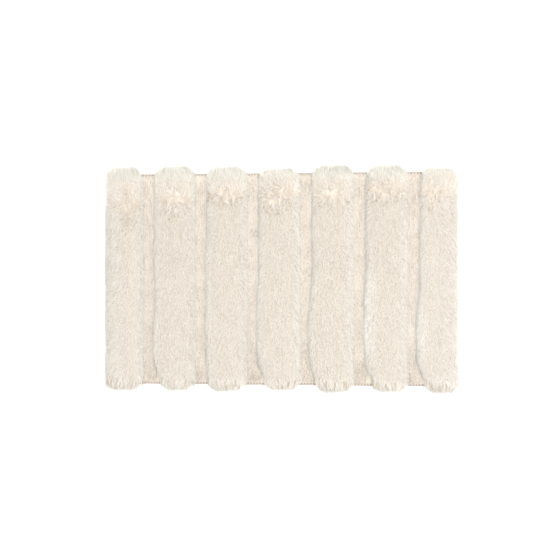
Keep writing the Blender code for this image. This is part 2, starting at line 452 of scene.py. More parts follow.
def lean_out(grid):
    """The core's edges moved out over the binding, above it and clear of its seam."""
    leaning = grid.copy()
    above = ease(grid[..., 2], 0.0048, 0.0100)
    for axis, edge, overhang in ((0, FIELD_HIGH.x, SIDE_OVERHANG), (1, FIELD_HIGH.y, END_OVERHANG)):
        side = ease(np.abs(grid[..., axis]), edge - 0.018, edge - 0.002)
        leaning[..., axis] += np.sign(grid[..., axis]) * side * overhang * above
    return leaning


def grid_normals(grid):
    down_rows = np.gradient(grid, axis=0)
    across = np.gradient(grid, axis=1)
    return unit(np.cross(across, down_rows))


def read_grid(values, row, place):
    """Values between a grid's points, by straight-line mixing."""
    row = np.clip(row, 0, values.shape[0] - 1.001)
    place = np.clip(place, 0, values.shape[1] - 1.001)
    r, p = row.astype(int), place.astype(int)
    fr, fp = column(row - r), column(place - p)
    near = values[r, p] * (1 - fp) + values[r, p + 1] * fp
    far = values[r + 1, p] * (1 - fp) + values[r + 1, p + 1] * fp
    return near * (1 - fr) + far * fr


def scatter(grid, count, rng):
    """Evenly spread places on a grid's surface, as fractional rows and columns."""
    sides = grid[1:, :-1] - grid[:-1, :-1], grid[:-1, 1:] - grid[:-1, :-1]
    area = np.linalg.norm(np.cross(*sides), axis=-1)
    running = np.cumsum(area.ravel())
    marks = (np.arange(count) + rng.random(count)) / count * running[-1]
    cell = np.searchsorted(running, marks).clip(0, area.size - 1)
    row, place = np.divmod(cell, area.shape[1])
    return row + rng.random(count), place + rng.random(count)


def comb(number, points):
    """The pile's heading at some points, seen from above, and how near the parting they are."""
    low, high = core_limits(number)
    shape = RIB_SHAPES[number - 1]
    x, y = points[:, 0], points[:, 1]
    middle, half = (low[0] + high[0]) / 2, (high[0] - low[0]) / 2
    part_x = middle + shape["part"][0] * half
    part_y = MAT_HIGH.y - shape["part"][1]
    away_x = (x - part_x) / shape["part_size"][0]
    away_y = (y - part_y) / shape["part_size"][1]
    near_part = np.exp(-0.5 * (away_x**2 + away_y**2))
    turned = ease(away_y, -0.9, 1.4)
    drift = ripples(300 + number, 0.050)(x, y)
    ruffle = ripples(400 + number, 0.014)(x, y)
    angle = 0.10 * drift + 0.10 * ruffle + 0.10 * (x - middle) / half
    heading = beside(np.sin(angle), np.cos(angle) * (2 * turned - 1))
    outward = beside(away_x, away_y) / column(np.maximum(np.hypot(away_x, away_y), 0.8))
    heading = heading + 0.7 * column(near_part) * outward
    return heading / np.maximum(np.linalg.norm(heading, axis=1, keepdims=True), 0.9), near_part


def edge_share(number, core, points, place):
    """How near some hairs are to a rib's ragged edges: its near end and its left side."""
    near_end = 1 - ease(points[:, 1], core[0, 0, 1], core[0, 0, 1] + 0.016)
    left_side = 1 - ease(place / core.shape[1], 0.12, 0.30)
    return np.maximum(0.9 * near_end, 0.55 * left_side * (number > 1))


def lock_table(seed):
    return np.random.default_rng(seed).random((128, 256, 5))


def find_locks(across, along, table, size):
    """Each hair's nearest lock in a table of jittered cells: its centre and its random numbers."""
    places = beside(across, along) / size
    steps = np.array([(a, b) for a in (-1, 0, 1) for b in (-1, 0, 1)])
    cells = np.floor(places)[:, None] + steps
    index = cells.astype(int) % table.shape[:2]
    found = table[index[..., 0], index[..., 1]]
    spots = cells + found[..., :2]
    nearest = ((spots - places[:, None]) ** 2).sum(-1).argmin(1)
    hair = np.arange(len(places))
    return spots[hair, nearest] * size, found[hair, nearest]


def gather_locks(across, along, at_edge, in_part, table):
    """Each hair's lock, larger at an edge or a parting: its centre, its numbers and how hard it pulls."""
    centre, numbers = find_locks(across, along, table, LOCK_SIZE)
    pull = np.full(len(across), LOCK_PULL)
    for chosen, size, strength in ((at_edge, EDGE_SIZE, EDGE_PULL), (in_part, TUFT_SIZE, TUFT_PULL)):
        tuft_centre, tuft_numbers = find_locks(across, along, table, size)
        centre = np.where(chosen[:, None], tuft_centre, centre)
        numbers = np.where(chosen[:, None], tuft_numbers, numbers)
        pull = np.where(chosen, strength, pull)
    return centre, numbers, pull


def hair_leans(heading, numbers, in_part, rng):
    """Which way each hair leans: as combed, with its lock's own turn and its own."""
    sway = 0.30 * (numbers[:, 2] - 0.5) + rng.normal(0, 0.08, len(numbers))
    lean = beside(heading[:, 0] + heading[:, 1] * sway, heading[:, 1] - heading[:, 0] * sway)
    own_way = 2 * math.pi * numbers[:, 2]
    return lean + column(TUFT_DISORDER * in_part) * beside(np.cos(own_way), np.sin(own_way))


def hair_shades(shape, roots, near_part, in_part, gap, at_edge, at_side, numbers):
    """How far each hair is moved along the colour ramp, which holds painted shade and painted light, or the
    speck mark for one painted dark as a shadow speck among the tufts.
    """
    at_near_end = at_edge & (roots[:, 1] < -FIELD_HIGH.y + 0.016)
    below_part = roots[:, 1] < MAT_HIGH.y - shape["part"][1] + 0.006
    # Specks painted dark where shadow falls among the tufts, at a near end and just below a parting.
    shadow_speckled = at_near_end | (below_part & (near_part > 0.05) & ~in_part)
    # Painted shade: hairs in the gaps round a parting, at a rib's flanks and round the parting move down the
    # ramp, darker and warmer; round the parting this is partly the roots that show.
    shade = -GAP_PAINTED_SHADE * gap - SIDE_PAINTED_SHADE * at_side - shape["warm"] * near_part
    # Painted light: a whole rib made paler, where the mat's right side is brighter.
    shade = shade + shape.get("pale", 0.0)
    shade = np.where(in_part & (numbers[:, 4] > 1 - shape["white"]), TUFT_WHITENESS, shade)
    return np.where(shadow_speckled & (numbers[:, 4] < SPECK_SHARE), SHADOW_SPECK, shade)


def settle_tips(tips, sideways, numbers, rng):
    """Makes the tips uneven at the sides and ends, and keeps them over the low pile and the binding."""
    own = 0.6 * numbers[:, 1] + 0.4 * rng.random(len(tips))
    splay = np.where(sideways < 0, LEFT_SPLAY, RIGHT_SPLAY) * own
    tips[:, 0] += splay * sideways * ease(np.abs(sideways), 0.6, 0.9)
    inside = (np.abs(tips[:, 0]) < FIELD_HIGH.x - 0.010) & (np.abs(tips[:, 1]) < FIELD_HIGH.y)
    past_end = ease(np.abs(tips[:, 1]), MAT_HIGH.y - 0.004, MAT_HIGH.y + 0.008)
    tips[:, 1] += np.sign(tips[:, 1]) * END_RAGGEDNESS * (numbers[:, 0] - 0.5) * past_end
    shelf = SHELF - SHELF_DROP + 0.0020 * rng.random(len(tips))
    tips[:, 2] = np.maximum(tips[:, 2], np.where(inside, shelf, LOWEST_TIP))


def plan_hairs(number, core, envelope, settings, rng, table):
    """Roots on the core, and tips between it and the envelope that draw together in locks."""
    count = settings["count"]
    row, place = scatter((core + envelope) / 2, count, rng)
    roots = read_grid(core, row, place)
    widths = np.linalg.norm(np.diff(core, axis=1), axis=-1).sum(1) / (core.shape[1] - 1)
    per_step = np.maximum(widths[np.clip(row.astype(int), 0, len(widths) - 1)], 0.0005)
    heading, near_part = comb(number, roots)
    at_edge = edge_share(number, core, roots, place) > rng.uniform(0.25, 0.60, count)
    in_part = near_part > rng.uniform(0.20, 0.55, count)
    centre, numbers, pull = gather_locks(place * per_step, roots[:, 1], at_edge, in_part, table)
    lock_row = np.interp(centre[:, 1], core[:, 0, 1], np.arange(len(core)))
    lean = hair_leans(heading, numbers, in_part, rng)
    sideways = 2 * place / (core.shape[1] - 1) - 1
    at_side = ease(np.abs(sideways), 0.55, 0.85)
    longer = 1 + TUFT_STRETCH * in_part + SIDE_STRETCH * at_side
    stretch = settings["reach"] * rng.uniform(0.7, 1.2, count) * longer
    tip_row = row + pull * (lock_row - row) + stretch * lean[:, 1] / ROW_STEP
    tip_place = place + pull * (centre[:, 0] / per_step - place) + stretch * lean[:, 0] / per_step
    gap = in_part & (numbers[:, 4] < GAP_SHARE)
    relief = LOCK_RELIEF * (numbers[:, 3] - 0.5) * (1 + near_part)
    height = (rng.uniform(*settings["depth"], count) + relief) * np.where(gap, GAP_HEIGHT, 1.0)
    inner = read_grid(core, tip_row, tip_place)
    outer = read_grid(envelope, tip_row, tip_place)
    tips = inner + column(height) * (outer - inner)
    settle_tips(tips, sideways, numbers, rng)
    shape = RIB_SHAPES[number - 1]
    shade = hair_shades(shape, roots, near_part, in_part, gap, at_edge, at_side, numbers)
    kept = rng.random(count) > np.where(gap, GAP_THINNING, settings["thinning"] * near_part)
    return [values[kept] for values in (roots, tips, row, place, numbers, shade)]


def tilted(up, numbers, tilt):
    """Headings, each lock's tilted its own way so that it catches its own light."""
    aside = beside(numbers[:, 0] - 0.5, numbers[:, 1] - 0.5, np.zeros(len(numbers)))
    return unit(up + 2 * tilt * aside)


def pile_normals(normals, row, place, numbers, tips):
    """How the hairs are shaded: as the pile's surface, flattened, with its locks tilted."""
    up = unit(read_grid(normals, row, place))
    past = np.maximum(np.abs(tips[:, 0]) - FIELD_HIGH.x, np.abs(tips[:, 1]) - FIELD_HIGH.y)
    flatness = PILE_FLATNESS + (OUTER_FLATNESS - PILE_FLATNESS) * ease(past, 0.002, 0.020)
    up[:, 2] += flatness / (1 - flatness)
    return tilted(unit(up), numbers, LOCK_TILT)


def add_rib(number, materials):
    """One rib: its dense core and the two kinds of hair that are rooted on it."""
    core_grid = lean_out(rib_grid(number, *core_limits(number), section_across()))
    envelope = rib_grid(number, *envelope_limits(number), envelope_across(number))
    core = closed_loft(f"rib_{number}_core", core_grid, materials["dense_pile"])
    pieces = [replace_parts(core, f"pile_rib_{number}")]
    rng = np.random.default_rng(1000 + number)
    table = lock_table(2000 + number)
    for kind in HAIR_KINDS:
        pieces.append(add_hair(kind, number, core_grid, envelope, rng, table, materials["tall_pile"]))
    return pieces


def rib_tones(number, tips, numbers, shade, rng):
    """Each hair's place on the colour ramp, from its lock and its own, or one of the special tones."""
    own = rng.random(len(tips))
    tones = np.clip(0.50 + 0.70 * (own - 0.5) + 0.60 * (numbers[:, 4] - 0.5) + shade, 0, 1)
    tones = DEEPEST_TONE + (WHITEST_TONE - DEEPEST_TONE) * tones
    tones = np.where(numbers[:, 1] < frost_share(number, tips), FROST_TONE, tones)
    # painted shade: darker, cooler ends past the mat's edges
    tones = np.where(rng.random(len(tips)) < fringe_shade_share(tips), FRINGE_SHADE_TONE, tones)
    # painted shadow specks get the dark tone
    return np.where(shade == SHADOW_SPECK, SHADOW_SPECK_TONE, tones)


def frost_share(number, tips):
    """How many locks are white, down part of the left side of some ribs."""
    start, stop = RIB_SHAPES[number - 1].get("frost", (0.0, 0.0))
    low, high = core_limits(number)
    down = MAT_HIGH.y - tips[:, 1]
    side = 1 - ease((tips[:, 0] - low[0]) / (high[0] - low[0]), 0.0, 0.36)
    stretch = ease(down, start - 0.03, start) * (1 - ease(down, stop, stop + 0.02))
    return 0.55 * side * stretch


def fringe_shade_share(tips):
    """How many hairs get the darker, cooler painted-shade tone: most at the far ends and fewer at the outer
    sides and near ends.
    """
    far = ease(tips[:, 1], MAT_HIGH.y - 0.032, MAT_HIGH.y + 0.002)
    near = 0.25 * ease(-tips[:, 1], MAT_HIGH.y - 0.004, MAT_HIGH.y + 0.010)
    left = 0.7 * ease(-tips[:, 0], MAT_HIGH.x - 0.018, MAT_HIGH.x + 0.008)
    right = 0.6 * ease(tips[:, 0], MAT_HIGH.x - 0.002, MAT_HIGH.x + 0.014)
    return np.maximum(np.maximum(far, near), np.maximum(left, right))


def add_hair(kind, number, core, envelope, rng, table, material):
    """A rib's short straight underfur, or the longer curved guard hair that gives it its surface."""
    settings = HAIR_KINDS[kind]
    roots, tips, row, place, numbers, shade = plan_hairs(number, core, envelope, settings, rng, table)
    up = pile_normals(grid_normals(envelope), row, place, numbers, tips)
    middles = None
    if kind == "guard_hair":
        span = np.linalg.norm(tips - roots, axis=1)
        middles = roots + column(0.55 * span) * unit(up + 0.5 * unit(tips - roots))
    widths = settings["width"] * rng.uniform(0.75, 1.25, len(row))
    tones = rib_tones(number, tips, numbers, shade, rng)
    return strands(f"rib_{number}_{kind}", roots, middles, tips, up, widths, tones, material)


# Low pile


def add_channel(number, materials):
    """One channel's low core, furrowed between its rows, and the tufts on it."""
    low, high = corners_of(f"low_pile_channel_{number}")
    rng = np.random.default_rng(3000 + number)
    core_top = low[2] + LOW_CORE_SHARE * (high[2] - low[2])
    across = np.linspace(low[0] - LOW_SPREAD, high[0] + LOW_SPREAD, 4 * LOW_PILE_ROWS + 9)
    along = high[1] * np.sin(np.linspace(-math.pi / 2, math.pi / 2, 90))
    share = (across - low[0]) / (high[0] - low[0])
    furrow = np.abs(np.sin(math.pi * LOW_PILE_ROWS * share))
    wave = ripples(3100 + number, 0.060)
    x, y = np.meshgrid(across, along)
    x = x + LOW_WOBBLE * wave(y, 0.3)
    z = core_top - LOW_FURROW * (1 - furrow) + 0.0003 * wave(x, y) - low_end_fall(y, high[1])
    top = beside(x, y, z)
    foot = beside(x[:, [-1, 0]], y[:, [-1, 0]], np.full((len(along), 2), low[2]))
    rings = np.concatenate([top, foot], 1)
    core = closed_loft(f"channel_{number}_core", rings, materials["low_dense_pile"])
    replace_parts(core, f"low_pile_channel_{number}")
    return [core, add_low_tufts(number, low, high, core_top, wave, rng, materials["short_pile"])]


def low_end_fall(y, end):
    """How much lower the low pile's core is, where it rounds off towards its ends."""
    return LOW_END_FALL * ease(np.abs(y), end - 0.006, end)


def add_low_tufts(number, low, high, core_top, wave, rng, material):
    """Short tufts in close lengthwise rows, brushed towards the near edge."""
    spacing = (high[0] - low[0]) / LOW_PILE_ROWS
    rows = low[0] + spacing * (np.arange(-1, LOW_PILE_ROWS + 1) + 0.5)
    steps = np.arange(low[1] + 0.0004, high[1] - 0.0004, LOW_TUFT_STEP)
    x, y = (values.ravel() for values in np.meshgrid(rows, steps))
    x = np.repeat(x, LOW_TUFTS_ABREAST) + rng.normal(0, LOW_SCATTER, LOW_TUFTS_ABREAST * len(x))
    y = np.repeat(y, LOW_TUFTS_ABREAST) + rng.uniform(-0.5, 0.5, LOW_TUFTS_ABREAST * len(y)) * LOW_TUFT_STEP
    x = np.clip(x + LOW_WOBBLE * wave(y, 0.3), low[0] - LOW_SPREAD, high[0] + LOW_SPREAD)
    roots = beside(x, y, core_top - 0.0012 - low_end_fall(y, high[1]))
    numbers = find_locks(x - low[0], y, lock_table(3200 + number), LOCK_SIZE)[1]
    near_end = ease(-y, high[1] - 0.007, high[1] - 0.002)
    length = LOW_TUFT_LENGTH * rng.uniform(0.7, 1.1, len(x)) * (0.7 + 0.6 * numbers[:, 3])
    length = length * (1 - 0.4 * near_end)
    sway = 0.25 * wave(x, y) + 0.5 * (numbers[:, 2] - 0.5) + rng.normal(0, 0.15, len(x))
    turned = ease(y, high[1] - 0.016, high[1] - 0.004)
    at_end = ease(np.abs(y), high[1] - 0.006, high[1] - 0.001)
    rise = (0.95 + 0.3 * rng.random(len(x))) * (1 - 1.3 * at_end)
    direction = unit(beside(sway, 2 * turned - 1, rise))
    tips = roots + direction * column(length)
    up = tilted(np.array([0.0, 0.0, 1.0]), numbers, LOW_TILT)
    widths = LOW_TUFT_WIDTH * rng.uniform(0.8, 1.2, len(x))
    # Painted shade: the low pile's tones deepen towards the near edge.
    painted_shade = ease(MAT_HIGH.y - y, 0.36, 0.53)
    tones = 0.5 + 0.7 * (rng.random(len(x)) - 0.5) + 0.8 * (numbers[:, 4] - 0.5) - LOW_PAINTED_SHADE * painted_shade
    tones = DEEPEST_TONE + (WHITEST_TONE - DEEPEST_TONE) * np.clip(tones, 0, 1)
    name = f"channel_{number}_tufts"
    return strands(name, roots, None, tips, up, widths, tones, material)


# Cloth, backing, binding and seam


def edge_path(inset, step):
    """Even places round the mat's outline: points, outward headings, run lengths and their total."""
    half = np.array([MAT_HIGH.x, MAT_HIGH.y]) - inset
    radius = CORNER_RADIUS - inset
    points, headings = [], []
    for quarter, signs in enumerate(((1, 1), (-1, 1), (-1, -1), (1, -1))):
        for turn in np.linspace(0, math.pi / 2, 13):
            angle = quarter * math.pi / 2 + turn
            headings.append(np.array([math.cos(angle), math.sin(angle)]))
            points.append(np.array(signs) * (half - radius) + radius * headings[-1])
    points, headings = np.array(points + points[:1]), np.array(headings + headings[:1])
    run = np.concatenate([[0], np.cumsum(np.linalg.norm(np.diff(points, axis=0), axis=1))])
    count = int(round(run[-1] / step))
    marks = np.arange(count) * run[-1] / count
    spots = np.stack([np.interp(marks, run, points[:, k]) for k in (0, 1)], -1)
    outward = unit(np.stack([np.interp(marks, run, headings[:, k]) for k in (0, 1)], -1))
    return spots, outward, marks, run[-1]


def stitch_count():
    total = edge_path(SEAM_INSET, STITCH_LENGTH)[3]
    return int(round(total / STITCH_LENGTH))


def tape_profile():
    """The folded tape's section, from its top inner edge: how far out from the mat's edge, and how high."""
    low, high = MAT_LOW.z, MAT_HIGH.z
    outer = [(-TAPE_WIDTH, high - 0.0002), (-0.0053, high), (-0.0047, high), (-SEAM_INSET, high)]
    outer += [(-0.0037, high), (-0.0030, high + 0.0001), (-0.0022, high + 0.0001)]
    quarter = np.linspace(0, math.pi / 2, 5)
    for middle, turns in ((high - TAPE_FOLD, quarter[::-1]), (low + TAPE_FOLD, -quarter)):
        outer += [(TAPE_FOLD * (math.cos(turn) - 1), middle + TAPE_FOLD * math.sin(turn)) for turn in turns]
    outer += [(-0.0030, low), (-SEAM_INSET, low), (-TAPE_WIDTH, low + 0.0001)]
    inner = [(-TAPE_WIDTH, low + TAPE_WALL), (-TAPE_WALL, low + TAPE_WALL)]
    inner += [(-TAPE_WALL, high - TAPE_WALL), (-TAPE_WIDTH, high - TAPE_WALL)]
    return np.array(outer + inner)


def add_binding(material):
    """The tape, folded round the mat's edge and drawn in a little at every stitch."""
    spots, outward, marks, total = edge_path(0.0, TAPE_STEP)
    profile = tape_profile()
    phase = marks / total * stitch_count()
    hole = np.exp(-(((phase - np.round(phase)) / 0.13) ** 2))
    ruffle = ripples(41, 0.018)(spots[:, 0], spots[:, 1])
    rings = np.empty((len(spots), len(profile), 3))
    for index, (out, height) in enumerate(profile):
        seam = math.exp(-(((out + SEAM_INSET) / 0.0011) ** 2))
        edge = math.exp(-((out / 0.0015) ** 2))
        on_top = height > 0.003
        dip = PUCKER_DEPTH * seam * hole * (1 if on_top else 0)
        sway = edge * (0.00022 * ruffle - 0.00018 * hole)
        rings[:, index, :2] = spots + outward * column(out + sway)
        rings[:, index, 2] = height - dip + (0.00010 * ruffle if on_top else 0.0)
    rings = np.concatenate([rings, rings[:1]])
    faces = loft_faces(len(rings), len(profile))
    faces = faces % (len(spots) * len(profile))
    points = rings[:-1].reshape(-1, 3)
    tape = new_piece("binding_tape", points, faces, material)
    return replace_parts(tape, "edge_binding")


def add_stitches(name, node, height, direction, material):
    """A short arched length of thread for every stitch, ducking into the tape at both of its ends."""
    spots, outward, marks, total = edge_path(SEAM_INSET, STITCH_LENGTH / 16)
    count, rings, sides = stitch_count(), 9, 6
    share = 0.5 + THREAD_SHARE * np.linspace(-0.5, 0.5, rings)
    along = (np.arange(count)[:, None] + share) * (total / count)
    x = np.interp(along, marks, spots[:, 0], period=total)
    y = np.interp(along, marks, spots[:, 1], period=total)
    flat = np.zeros_like(x)
    heading = unit(beside(np.gradient(x, axis=1), np.gradient(y, axis=1), flat))
    side = beside(-heading[..., 1], heading[..., 0], flat)
    arch = 1 - np.abs(np.linspace(-1, 1, rings)) ** 6
    centre = beside(x, y, flat + height + direction * 0.0005 * (arch - 1))
    centre = centre + side * column(0.00012 * (2 * share - 1))
    radius = THREAD_RADIUS * (0.45 + 0.55 * np.sin(math.pi * np.linspace(0.12, 0.88, rings)) ** 0.5)
    turns = column(np.linspace(0, 2 * math.pi, sides, endpoint=False))
    reach = np.cos(turns) * side[..., None, :] + np.sin(turns) * np.array([0, 0, 1.0])
    points = (centre[..., None, :] + radius[:, None, None] * reach).reshape(-1, 3)
    quads = loft_faces(rings, sides)
    last = (rings - 1) * sides
    caps = [[0, k + 1, k] for k in range(1, sides - 1)]
    caps += [[last, last + k, last + k + 1] for k in range(1, sides - 1)]
    triangles = np.concatenate([quads[:, [0, 1, 2]], quads[:, [0, 2, 3]], caps])
    faces = (np.arange(count) * rings * sides)[:, None, None] + triangles
    seam = new_piece(name, points, faces.reshape(-1, 3), material)
    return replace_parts(seam, node)


def sheet_grid(node, step, radius):
    """A grid over a node's rounded rectangle: its rows are drawn in where the corners round off."""
    low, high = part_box(node)
    rows = int(round((high.y - low.y) / step)) + 1
    columns = int(round((high.x - low.x) / step)) + 1
    y = np.linspace(low.y, high.y, rows)
    near_end = np.clip(radius - (high.y - np.abs(y)), 0, radius)
    drawn_in = radius - np.sqrt(np.maximum(radius**2 - near_end**2, 0))
    half = high.x - drawn_in
    x = np.linspace(-1, 1, columns)[None, :] * half[:, None]
    return x, np.repeat(y[:, None], columns, 1)


def sheet_solid(name, x, y, bottom, top, material):
    """A closed cloth or rubber sheet from a grid, with its own heights below and above."""
    rows, columns = x.shape
    under = beside(x, y, bottom).reshape(-1, 3)
    over = beside(x, y, top).reshape(-1, 3)
    row, place = np.meshgrid(np.arange(rows - 1), np.arange(columns - 1), indexing="ij")
    corner = (row * columns + place).ravel()
    quads = beside(corner, corner + 1, corner + columns + 1, corner + columns)
    index = np.arange(rows * columns).reshape(rows, columns)
    rim = np.concatenate([index[0, :-1], index[:-1, -1], index[-1, :0:-1], index[:0:-1, 0]])
    after = np.roll(rim, -1)
    size = rows * columns
    walls = beside(rim, after, after + size, rim + size)
    faces = np.concatenate([quads[:, ::-1], quads + size, walls])
    return new_piece(name, np.concatenate([under, over]), faces, material)


def add_ground_cloth(material):
    low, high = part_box("ground_fabric")
    x, y = sheet_grid("ground_fabric", 0.006, CLOTH_CORNER)
    wave = 0.00012 * ripples(51, 0.05)(x, y)
    bottom, top = low.z + 0.0002 + wave, high.z - 0.0002 + wave
    cloth = sheet_solid("ground_cloth", x, y, bottom, top, material)
    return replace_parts(cloth, "ground_fabric")


def add_backing(material):
    """Rubbery backing with rows of small round studs that meet the floor."""
    low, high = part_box("anti_slip_backing")
    x, y = sheet_grid("anti_slip_backing", 0.0040, BACKING_CORNER)
    row, place = np.indices(x.shape)
    stud = ((row + place) % 2 == 0) & (row % 2 == 0)
    depth = np.where(stud, 0.0, 0.00045)
    depth[[0, -1]] = depth[:, [0, -1]] = 0.0003
    top = np.full(x.shape, high.z)
    backing = sheet_solid("backing", x, y, low.z + depth, top, material)
    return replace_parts(backing, "anti_slip_backing")


# Materials

MULTIPLY = {"data_type": "RGBA", "blend_type": "MULTIPLY"}


class Shading:
    """A new material with its Principled shader, and short ways to wire nodes to it."""

    def __init__(self, name):
        self.material = bpy.data.materials.new(name)
        self.material.use_nodes = True
        self.nodes = self.material.node_tree.nodes
        self.link = self.material.node_tree.links.new
        self.sockets = self.nodes["Principled BSDF"].inputs

    def add(self, kind, settings=None, **values):
        """A node with its settings, and values for its inputs, whose names have _ for a space."""
        node = self.nodes.new("ShaderNode" + kind)
        for key, value in (settings or {}).items():
            setattr(node, key, value)
        for key, value in values.items():
            node.inputs[key.replace("_", " ")].default_value = value
        return node

    def texture(self, kind, settings=None, **values):
        """The outputs of a texture that lies fixed on the piece."""
        node = self.add(kind, settings, **values)
        place = self.add("TexCoord")
        self.link(place.outputs["Object"], node.inputs["Vector"])
        return node.outputs

    def ramp(self, value, *stops):
        """The colour at a value, from stops as (place, (red, green, blue))."""
        node = self.add("ValToRGB")
        elements = node.color_ramp.elements
        while len(elements) < len(stops):
            elements.new(0.5)
        for element, (place, colour) in zip(elements, stops):
            element.position = place
            element.color = (*colour, 1.0)
        self.link(value, node.inputs[0])
        return node.outputs["Color"]

    def blend(self, value, share, base):
        """A share of one value added to another."""
        node = self.add("Math", {"operation": "MULTIPLY_ADD"})
        node.inputs[1].default_value = share
        self.link(value, node.inputs[0])
        self.link(base, node.inputs[2])
        return node.outputs["Value"]

    def colour(self, value):
        self.link(value, self.sockets["Base Color"])

    def rough(self, value, at_zero, at_one):
        node = self.add("MapRange", To_Min=at_zero, To_Max=at_one)
        self.link(value, node.inputs["Value"])
        self.link(node.outputs["Result"], self.sockets["Roughness"])

    def bump(self, value, strength, distance):
        node = self.add("Bump", Strength=strength, Distance=distance)
        self.link(value, node.inputs["Height"])
        self.link(node.outputs["Normal"], self.sockets["Normal"])


def fibre_material(name, root, body, tip, tone_depth, sheen):
    """Pile fibre: warmer and darker at its root, which is partly painted shade deep in the pile, and paler
    at its tip, with the tone of each strand's own strip of the bake map. Beside the ordinary tones there are
    a dark one for painted shadow specks, a white one, and a darker, cooler one that is painted shade on the
    ends past the mat's edges."""
    fibre = Shading(name)
    place = fibre.add("UVMap", {"uv_map": BAKE_MAP}).outputs["UV"]
    parts = fibre.add("SeparateXYZ")
    fibre.link(place, parts.inputs[0])
    along = fibre.ramp(parts.outputs["Y"], (0.0, root), (0.45, body), (1.0, tip))
    dim = 1.0 - tone_depth
    tone = fibre.ramp(
        parts.outputs["X"],
        # painted shade: the dark tone of the shadow specks
        (SHADOW_SPECK_TONE + 0.04, (0.88 * dim, 0.74 * dim, 0.58 * dim)),
        (DEEPEST_TONE, (0.965 * dim, 0.915 * dim, 0.843 * dim)),
        (0.5 * WHITEST_TONE, (0.926, 0.909, 0.876)),
        (WHITEST_TONE, (0.965, 0.954, 0.937)),
        (FROST_TONE, (1.0, 1.0, 1.0)),
        # painted shade: the darker, cooler ends past the mat's edges
        (FRINGE_SHADE_TONE - 0.04, (0.849, 0.853, 0.819)),
    )
    mixed = fibre.add("Mix", MULTIPLY, Factor=1.0)
    fibre.link(along, mixed.inputs["A"])
    fibre.link(tone, mixed.inputs["B"])
    fibre.colour(mixed.outputs["Result"])
    fibre.rough(parts.outputs["Y"], 0.95, 0.72)
    stretch = fibre.add("VectorMath", {"operation": "MULTIPLY"})
    stretch.inputs[1].default_value = (900.0, 6.0, 1.0)
    fibre.link(place, stretch.inputs[0])
    fine = fibre.add("TexNoise", Scale=1.0, Detail=2.0)
    fibre.link(stretch.outputs["Vector"], fine.inputs["Vector"])
    fibre.bump(fine.outputs["Fac"], 0.15, 0.0002)
    fibre.sockets["Sheen Weight"].default_value = sheen
    fibre.sockets["Sheen Roughness"].default_value = 0.45
    fibre.sockets["Sheen Tint"].default_value = (1.0, 0.93, 0.84, 1.0)
    fibre.sockets["Specular IOR Level"].default_value = 0.25
    return fibre.material


def dense_pile_material(name, low, high, scale):
    """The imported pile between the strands: fine upright fibre ends in slightly different creams."""
    pile = Shading(name)
    fine = pile.texture("TexNoise", Scale=scale, Detail=4.0, Roughness=0.65)["Fac"]
    broad = pile.texture("TexNoise", Scale=35.0, Detail=2.0)["Fac"]
    pile.colour(pile.ramp(pile.blend(broad, 0.35, fine), (0.40, low), (0.85, high)))
    pile.rough(fine, 0.98, 0.85)
    pile.bump(fine, 0.7, 0.0015)
    pile.sockets["Sheen Weight"].default_value = 0.3
    pile.sockets["Specular IOR Level"].default_value = 0.2
    return pile.material


def weave_material(name, low, high, threads_per_metre, bump_distance, sheen, rim=None):
    """Plain-woven cloth: two sets of crossing threads, with slubs. A rim is the colour of a painted contact
    shadow, a darker line along the mat's edge.
    """
    weave = Shading(name)
    crossed = weave.add("Math", {"operation": "MAXIMUM"})
    scale = threads_per_metre / 10
    for index, direction in enumerate("XY"):
        bands = {"bands_direction": direction}
        wave = weave.texture("TexWave", bands, Scale=scale, Distortion=0.6, Detail=1.0)
        weave.link(wave["Fac"], crossed.inputs[index])
    threads = crossed.outputs["Value"]
    slub = weave.texture("TexNoise", Scale=180.0, Detail=3.0)["Fac"]
    colour = weave.ramp(weave.blend(slub, 0.45, threads), (0.25, low), (1.0, high))
    weave.colour(paint_rim_shadow(weave, colour, rim) if rim else colour)
    weave.rough(threads, 0.95, 0.75)
    weave.bump(threads, 0.6, bump_distance)
    weave.sockets["Sheen Weight"].default_value = sheen
    return weave.material


def paint_rim_shadow(weave, colour, rim):
    """A colour made darker along the mat's outer edge: painted shade for the contact shadow where the tape
    meets the floor.
    """
    place = weave.add("TexCoord")
    parts = weave.add("SeparateXYZ")
    weave.link(place.outputs["Object"], parts.inputs[0])
    for axis, half in (("X", MAT_HIGH.x), ("Y", MAT_HIGH.y)):
        size = weave.add("Math", {"operation": "ABSOLUTE"})
        weave.link(parts.outputs[axis], size.inputs[0])
        inner, outer = half - RIM_SHADOW_WIDTH, half - 0.6 * RIM_SHADOW_WIDTH
        amount = weave.add("MapRange", From_Min=inner, From_Max=outer)
        weave.link(size.outputs[0], amount.inputs["Value"])
        darker = weave.add("Mix", MULTIPLY, B=(*rim, 1.0))
        weave.link(amount.outputs["Result"], darker.inputs["Factor"])
        weave.link(colour, darker.inputs["A"])
        colour = darker.outputs["Result"]
    return colour


def rubber_material(name, low, high):
    """Sprayed latex: slightly uneven and faintly glossy, with tiny pits."""
    rubber = Shading(name)
    clouds = rubber.texture("TexNoise", Scale=60.0, Detail=4.0)["Fac"]
    rubber.colour(rubber.ramp(clouds, (0.3, low), (0.7, high)))
    rubber.rough(clouds, 0.55, 0.75)
    pits = rubber.texture("TexVoronoi", Scale=900.0)["Distance"]
    rubber.bump(pits, 0.4, 0.0002)
    return rubber.material


def thread_material(name, low, high):
    """Twisted polyester thread: fine slanted plies and a little shine. Its dark browns are painted shade,
    for the shaded holes where the stitches duck into the tape.
    """
    thread = Shading(name)
    bands = {"bands_direction": "DIAGONAL"}
    plies = thread.texture("TexWave", bands, Scale=320.0, Distortion=0.4)["Fac"]
    thread.colour(thread.ramp(plies, (0.1, low), (0.8, high)))
    thread.rough(plies, 0.7, 0.45)
    thread.bump(plies, 0.5, 0.0001)
    thread.sockets["Sheen Weight"].default_value = 0.2
    return thread.material


